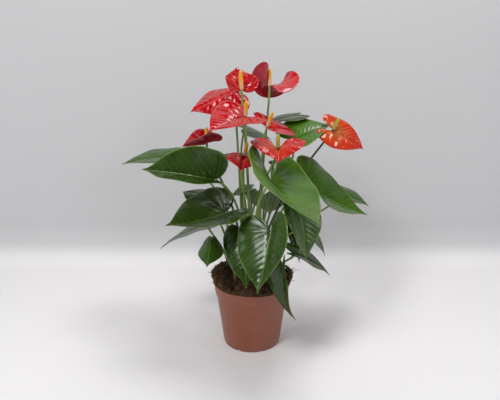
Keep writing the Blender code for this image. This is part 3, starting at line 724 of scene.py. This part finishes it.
def spadixObject(name, foot, direction, length, material, unripe):
    # a rod whose radius swells and tapers, covered with beads where two sets of spirals cross
    s = spadixSetting
    along = np.linspace(0, 1, s["steps"])
    line = foot + direction * (length * along)[:, None]
    outline = np.interp(along, *np.array(s["outline"]).T)
    turn = np.linspace(0, 2 * np.pi, s["sides"], endpoint=False)
    rows = np.pi * along[:, None] * length / s["beadRow"]
    bead = (np.sin(rows + s["beads"] * turn) * np.sin(rows - s["beads"] * turn) + 1) / 2
    radii = s["radius"] * outline[:, None] * (1 - s["relief"] * (1 - bead))
    points, faces = tubeArrays(line, radii, s["sides"])
    values = {"alongShare": np.concatenate([np.repeat(along, s["sides"]), [0, 1]]),
              "beadHeight": np.concatenate([bead.ravel(), [0.5, 0.5]]), "tone": np.full(len(points), unripe)}
    return meshObject(name, points, faces, material, values)


def buildFlowers(stalkSkin):
    # spathe, scape and spadix of each flower; the spadix stands clear in the spathe's sinus
    lacquer, beads = spatheMaterial(), spadixMaterial()
    s = stalkSetting
    room = spadixSetting["radius"] + s["bladeThickness"] + airGap
    for number, values in flowerHabits.items():
        habit = dict(zip(flowerColumns, values))
        heading, lean = radians(habit["spadixHeading"]), radians(habit["spadixLean"])
        direction = np.array([sin(lean) * cos(heading), sin(lean) * sin(heading), cos(lean)])
        rib = turnMatrix(habit["heading"], habit["pitch"], habit["roll"])[:, 0]
        across = np.arccos(np.clip(rib @ direction, -1, 1))
        shift = rib * (s["cadFlowerRadius"] / sin(across) + s["bladeThickness"] + airGap)
        node, cadStalk = "spathe_" + number, "flower_stalk_" + number
        origin = coarseJoint(node, habit, spatheKind, room)
        joint = origin - shift

        def tints(x, y, share):
            away = np.hypot(x, y) / habit["length"]
            orange = habit["orange"] * np.clip(1.25 - away, 0, 1)
            greenish = habit["unripe"] * 0.55 * np.clip(1.0 - 2.2 * away, 0, 1)
            return {"orange": orange, "greenish": greenish}

        spathe = bladeObject("spathe" + number, habit, spatheKind, origin, lacquer, room, tints)
        ridesAs(spathe, node)
        line = stalkLine(rootOf(cadStalk), habit["rise"], joint, direction, s["flowerHandle"])
        radii = s["flowerRadius"] * np.linspace(1.15, 0.95, len(line))
        foot = joint + direction * spadixSetting["lift"]
        line = np.vstack([line, foot + direction * 0.001])
        radii = np.append(radii, s["flowerRadius"] * 0.85)
        # the scape's tone is painted shade
        ridesAs(stalkObject("scape" + number, line, radii, stalkSkin, habit["tone"]), cadStalk)
        length = habit["spadixLength"] - spadixSetting["lift"]
        spadix = spadixObject("spadix" + number, foot, direction, length, beads, habit["unripe"])
        ridesAs(spadix)
    print("flowers: " + str(len(flowerHabits)) + " spathes, scapes and spadices")


# Pot.
potSetting = {"wall": 0.0016, "collar": 0.030, "collarStep": 0.0022, "lip": 0.004, "lipFlare": 0.0016,
              "baseRadius": 0.0625, "segments": 160, "notches": 8, "notchStart": -73, "notchHalf": 0.0040,
              "notchHeight": 0.005, "rounding": 0.0011, "footBand": 0.012}


def roundedProfile(corners, radius, steps):
    # each corner becomes a short curve that starts and ends at most radius away from it
    corners = np.array(corners, float)
    out = [corners[0]]
    for before, here, after in zip(corners[:-2], corners[1:-1], corners[2:]):
        near = min(radius, 0.45 * np.linalg.norm(here - before), 0.45 * np.linalg.norm(after - here))
        a = here + unitRows(before - here) * near
        b = here + unitRows(after - here) * near
        t = np.linspace(0, 1, steps)[:, None]
        out += list(a * (1 - t) ** 2 + here * 2 * t * (1 - t) + b * t ** 2)
    return np.array(out + [corners[-1]])


def latheArrays(radius, height, segments):
    # a profile from the axis and back to it, turned once round; radius and height may change
    # with the turn, as arrays of one row for each segment
    turn = np.linspace(0, 2 * np.pi, segments, endpoint=False)[:, None]
    radius = np.broadcast_to(radius, (segments, radius.shape[-1]))
    height = np.broadcast_to(height, (segments, height.shape[-1]))
    rings = np.stack([radius * np.cos(turn), radius * np.sin(turn), height], -1)[:, 1:-1]
    count = rings.shape[1]
    points = np.vstack([rings.reshape(-1, 3), [[0, 0, height[0, 0]], [0, 0, height[0, -1]]]])
    i, j = np.meshgrid(np.arange(segments), np.arange(count - 1), indexing="ij")
    a, b = (i * count + j).ravel(), ((i + 1) % segments * count + j).ravel()
    faces = np.stack([a, b, b + 1, a + 1], -1).tolist()
    low, high = segments * count, segments * count + 1
    for k in range(segments):
        after = (k + 1) % segments
        faces += [(low, after * count, k * count), (high, k * count + count - 1, after * count + count - 1)]
    return points, faces


def buildPot():
    # The shell is one profile turned round: up the outside, over the lip and down the inside.
    # Each drain notch lifts the foot of the outside to half a circle.
    low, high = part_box("pot")
    rim, top = (high.x - low.x) / 2, high.z
    s = potSetting

    def bodyRadius(z):
        return s["baseRadius"] + (rim - s["lipFlare"] - s["collarStep"] - s["baseRadius"]) * z / top

    collarLow, lipLow = top - s["collar"], top - s["lip"]
    collar = bodyRadius(collarLow) + s["collarStep"]
    corners = [
        (0, 0), (s["baseRadius"], 0), (bodyRadius(0.006), 0.006),
        (bodyRadius(collarLow - 0.0015), collarLow - 0.0015), (collar, collarLow + 0.0012),
        (rim - s["lipFlare"], lipLow), (rim, lipLow + 0.0009), (rim, top),
        (rim - s["lipFlare"] - s["wall"], top),
        (collar - s["wall"], collarLow + 0.004), (bodyRadius(collarLow) - s["wall"], collarLow - 0.002),
        (bodyRadius(s["wall"]) - s["wall"], s["wall"]), (0, s["wall"]),
    ]
    profile = roundedProfile(corners, s["rounding"], 6)
    # more points up the body, for the drain notches
    extra = np.linspace(profile[7:8], profile[8:9], 14)[1:-1, 0]
    profile = np.vstack([profile[:8], extra, profile[8:]])
    segments = s["segments"]
    turn = np.linspace(0, 360, segments, endpoint=False)
    pitch = 360 / s["notches"]
    off = np.abs((turn - s["notchStart"] + pitch / 2) % pitch - pitch / 2) * np.pi / 180 * s["baseRadius"]
    arch = np.sqrt(np.clip(1 - (off / s["notchHalf"]) ** 2, 0, 1)) * s["notchHeight"]
    height = np.broadcast_to(profile[:, 1], (segments, len(profile)))
    outside = np.arange(len(profile)) < 30
    outside &= (profile[:, 0] > s["baseRadius"] / 2) & (profile[:, 1] < s["footBand"])
    height = np.where(outside, np.maximum(height, arch[:, None]), height)
    points, faces = latheArrays(profile[:, 0], height, segments)
    ridesAs(meshObject("potShell", points, faces, potMaterial()), "pot")
    print("pot: turned shell with collar, lip and drain notches")
    return rim, top


# Peat.
peatSetting = {"segments": 300, "rings": 90, "crown": 0.014, "sideRise": 0.012, "frontDip": 0.008,
               "overhang": 0.007, "coarse": 0.0042, "fine": 0.0018, "crumbs": 1300, "crumbSize": 0.0042,
               "strands": 1100, "seed": 5}


def heapHeight(radius, turn, edge, top):
    # a low dome that rises towards the left and right and dips at front and back
    side = np.cos(turn) ** 2
    share = np.clip(radius / edge, 0, 1)
    rise = side * peatSetting["sideRise"] - (1 - side) * peatSetting["frontDip"]
    rise = rise * np.exp(-((share - 0.80) / 0.22) ** 2) * (share > 0.2)
    return top + peatSetting["crown"] + rise - 0.010 * share ** 8


def buildPeat(rim, top):
    # A heap whose edge hangs over the rim at the sides, roughened by three sizes of noise,
    # then loose crumbs and strands strewn evenly over it.
    s = peatSetting
    wall = potSetting["wall"] + potSetting["lipFlare"] + airGap
    segments, rings = s["segments"], s["rings"]
    turn = np.linspace(0, 2 * np.pi, segments, endpoint=False)[:, None]
    side = np.cos(turn) ** 2
    lumps = 0.0016 * np.sin(5 * turn + 0.6) + 0.0011 * np.sin(9 * turn)
    edge = rim - wall + side * s["overhang"] - (1 - side) * 0.002 + lumps
    share = np.linspace(0, 1, rings)[None]
    radius = edge * share ** 0.9
    height = heapHeight(radius, turn, edge, top)
    x, y = radius * np.cos(turn), radius * np.sin(turn)
    spot = np.stack([x, y, height], -1)
    rough = s["coarse"] * softNoise(spot, 0.016, s["seed"])
    rough += s["fine"] * softNoise(spot, 0.006, s["seed"] + 1, 24)
    rough += s["fine"] * 0.6 * softNoise(spot, 0.003, s["seed"] + 2, 30)
    height = height + rough * np.clip(share * 6, 0, 1)
    # outside the brim the heap turns under and goes down inside the wall: radius and height
    one, inside, floor = np.ones_like(turn), rim - wall - 0.0004, potSetting["wall"] + airGap
    down = [(edge, top + 0.004), (edge * 0.985, top + 0.0015), (one * inside, top + airGap * 2),
            (one * (inside - 0.0035), top - 0.028), (one * 0.060, floor), (one * 0, floor)]
    allRadius = np.hstack([radius] + [reach for reach, level in down])[:, ::-1]
    allHeight = np.hstack([height] + [one * level for reach, level in down])[:, ::-1]
    points, faces = latheArrays(allRadius, allHeight, segments)
    ridesAs(meshObject("peatHeap", points, faces, peatMaterial()), "soil")

    rng = np.random.default_rng(s["seed"])

    def scatter(count, outer):
        # even over the heap's area: the distance out is the root of a random share
        angle = rng.uniform(0, 2 * np.pi, count)
        size = np.sqrt(rng.uniform(0, 1, count)) * outer
        reach = np.interp(angle, turn[:, 0], edge[:, 0], period=2 * np.pi)
        r = size * reach
        z = heapHeight(r, angle, reach, top)
        return np.stack([r * np.cos(angle), r * np.sin(angle), z], -1), angle

    # crumbs: twelve-cornered lumps, each squeezed and turned its own way
    golden = (1 + 5 ** 0.5) / 2
    corners = np.array([(0, a, b * golden) for a in (-1, 1) for b in (-1, 1)]
                       + [(a, b * golden, 0) for a in (-1, 1) for b in (-1, 1)]
                       + [(b * golden, 0, a) for a in (-1, 1) for b in (-1, 1)], float)
    corners = unitRows(corners)
    length = np.linalg.norm(corners[:, None] - corners[None], axis=-1)
    near = (length > 0.1) & (length < 1.2)
    sides = [(i, j, k) for i in range(12) for j in range(i + 1, 12) for k in range(j + 1, 12)
             if near[i, j] and near[j, k] and near[i, k]]
    sides = [t if np.cross(corners[t[1]] - corners[t[0]], corners[t[2]] - corners[t[0]]) @ corners[t[0]] > 0
             else (t[0], t[2], t[1]) for t in sides]
    places = scatter(s["crumbs"], 1.0)[0]
    size = rng.uniform(0.25, 1.0, (s["crumbs"], 1, 1)) ** 2 * s["crumbSize"]
    size = size * rng.uniform(0.6, 1.3, (s["crumbs"], 1, 3))
    shape = corners[None] * rng.uniform(0.75, 1.25, (s["crumbs"], 12, 1)) * size
    spin = rng.uniform(0, 2 * np.pi, s["crumbs"])
    c, n = np.cos(spin)[:, None], np.sin(spin)[:, None]
    wide, deep, high = np.moveaxis(shape, -1, 0)
    shape = np.stack([wide * c - deep * n, wide * n + deep * c, high], -1)
    points = (shape + places[:, None]).reshape(-1, 3)
    faces = (np.array(sides)[None] + 12 * np.arange(s["crumbs"])[:, None, None]).reshape(-1, 3)
    tone = np.repeat(rng.uniform(0.0, 0.5, s["crumbs"]) ** 1.5, 12)
    fibre = fibreMaterial()
    ridesAs(meshObject("peatCrumbs", points, faces, fibre, {"tone": tone}))

    # strands: thin three-sided roots and straws that lie on the heap and lift at one end
    count, steps = s["strands"], 7
    places, angle = scatter(count, 1.03)
    t = np.linspace(0, 1, steps)
    heading = angle + rng.normal(0, 1.2, count)
    along = np.stack([np.cos(heading), np.sin(heading), rng.uniform(-0.25, 0.55, count)], -1)
    bow = rng.normal(0, 0.5, (count, 3))
    reach = rng.uniform(0.006, 0.022, count)
    lines = places[:, None] + (along[:, None] * (t[None, :, None] - 0.3)
                               + bow[:, None] * (t * (1 - t))[None, :, None]) * reach[:, None, None]
    lines[..., 2] += 0.0008
    tangent = unitRows(np.gradient(lines, axis=1))
    u = unitRows(np.cross(tangent, np.array([0.2, 0.3, 0.93])))
    v = np.cross(tangent, u)
    thick = rng.uniform(0.00020, 0.00060, count)[:, None, None] * (1 - 0.75 * t)[None, :, None]
    rings = [lines + (u * np.cos(a) + v * np.sin(a)) * thick for a in (0, 2 * np.pi / 3, 4 * np.pi / 3)]
    points = np.stack(rings, 2).reshape(-1, 3)
    base = (np.arange(count)[:, None] * steps + np.arange(steps - 1)).ravel() * 3
    pairs = [(base + k, base + (k + 1) % 3) for k in range(3)]
    faces = np.concatenate([np.stack([a, b, b + 3, a + 3], -1) for a, b in pairs]).tolist()
    first = (np.arange(count) * steps * 3).tolist()
    last = (np.arange(count) * steps * 3 + (steps - 1) * 3).tolist()
    faces += [(a, a + 2, a + 1) for a in first] + [(a, a + 1, a + 2) for a in last]
    tone = np.repeat(rng.uniform(0.1, 1.0, count) ** 1.3, steps * 3)
    ridesAs(meshObject("peatStrands", points, faces, fibre, {"tone": tone}))
    print("peat: heap, " + str(s["crumbs"]) + " crumbs and " + str(count) + " strands")


# Floor, light and camera.
# the light is shown straight, with no filmic curve
bpy.context.scene.view_settings.view_transform = "Standard"

studio = {
    "floor": (0.86, 0.84, 0.85), "wall": (0.58, 0.58, 0.59), "air": (0.93, 0.96, 1.0), "worldStrength": 0.13,
    "floorFront": -3.0, "floorBack": 0.36, "floorHalf": 3.5, "wallHeight": 3.5, "bendRadius": 0.10,
    "cameraAt": (-0.004, -1.112, 0.696), "cameraTilt": 71.7, "lens": 40.3,
}
# each panel: place, the point it faces, size in metres and watts
panels = {
    "keyPanel": ((-0.8, -1.2, 1.9), (0, 0, 0.35), 0.5, 21),
    "topPanel": ((0.35, 0.0, 1.9), (0, 0, 0.3), 0.6, 12.5),
    "frontPanel": ((0.8, -1.7, 1.1), (0, 0, 0.3), 0.5, 5),
    "leftPanel": ((-1.5, -0.5, 0.6), (0, 0, 0.25), 0.6, 3.5),
    "rightPanel": ((1.5, -0.5, 0.6), (0, 0, 0.25), 0.6, 3.5),
}


def buildStudio():
    # a floor that sweeps up into a wall behind the plant; the wall is painted darker than the floor as painted
    # shade
    t = np.linspace(0, 1, 24)
    back, bendRadius = studio["floorBack"], studio["bendRadius"]
    bend = np.stack([back + bendRadius * np.sin(t * np.pi / 2), bendRadius * (1 - np.cos(t * np.pi / 2))], -1)
    sweep = np.vstack([[(studio["floorFront"], 0.0)], bend, [(back + bendRadius, studio["wallHeight"])]])
    points = np.array([(x, y, z) for y, z in sweep for x in (-studio["floorHalf"], studio["floorHalf"])])
    faces = [(2 * k, 2 * k + 1, 2 * k + 3, 2 * k + 2) for k in range(len(sweep) - 1)]
    material, tree, shader = startMaterial("studioPaper", Roughness=0.7)
    where = putNode(tree, "TexCoord").outputs["Object"]
    apart = putNode(tree, "SeparateXYZ", {0: where})
    # painted shade: the paper darkens from the floor colour to the wall colour as it rises round the bend
    shade = mapTo(tree, apart.outputs["Z"], 0.0, studio["bendRadius"] * 0.5)
    tree.links.new(mixColours(tree, shade, studio["floor"], studio["wall"]), shader.inputs["Base Color"])
    # from behind the paper is clear, so that it never hides the plant
    facing = putNode(tree, "NewGeometry").outputs["Backfacing"]
    clear = putNode(tree, "BsdfTransparent")
    oneSided = putNode(tree, "MixShader", {0: facing, 1: shader.outputs["BSDF"], 2: clear.outputs["BSDF"]})
    output = next(node for node in tree.nodes if node.type == "OUTPUT_MATERIAL")
    tree.links.new(oneSided.outputs["Shader"], output.inputs["Surface"])
    backdrop = meshObject("studioSweep", points, faces, material)

    world = bpy.data.worlds.new("studioAir")
    world.use_nodes = True
    world.node_tree.nodes["Background"].inputs["Color"].default_value = (*studio["air"], 1)
    world.node_tree.nodes["Background"].inputs["Strength"].default_value = studio["worldStrength"]
    bpy.context.scene.world = world

    for name, (place, aim, size, watts) in panels.items():
        light = bpy.data.lights.new(name, "AREA")
        light.size = size
        light.energy = watts
        lamp = bpy.data.objects.new(name, light)
        lamp.location = place
        gaze = np.array(aim) - np.array(place)
        lamp.rotation_euler = (np.arctan2(np.hypot(gaze[0], gaze[1]), -gaze[2]), 0,
                               np.arctan2(gaze[1], gaze[0]) - np.pi / 2)
        bpy.context.scene.collection.objects.link(lamp)

    camera = bpy.data.objects.new("camera", bpy.data.cameras.new("camera"))
    camera.location = studio["cameraAt"]
    camera.rotation_euler = (radians(studio["cameraTilt"]), 0, 0)
    camera.data.lens = studio["lens"]
    camera.data.sensor_width = 36.0
    bpy.context.scene.collection.objects.link(camera)
    bpy.context.scene.camera = camera
    print("studio: sweep, " + str(len(panels)) + " panels and the camera")


stalkSkin = stalkMaterial()
buildLeaves(stalkSkin)
buildFlowers(stalkSkin)
potRim, potTop = buildPot()
buildPeat(potRim, potTop)
buildStudio()
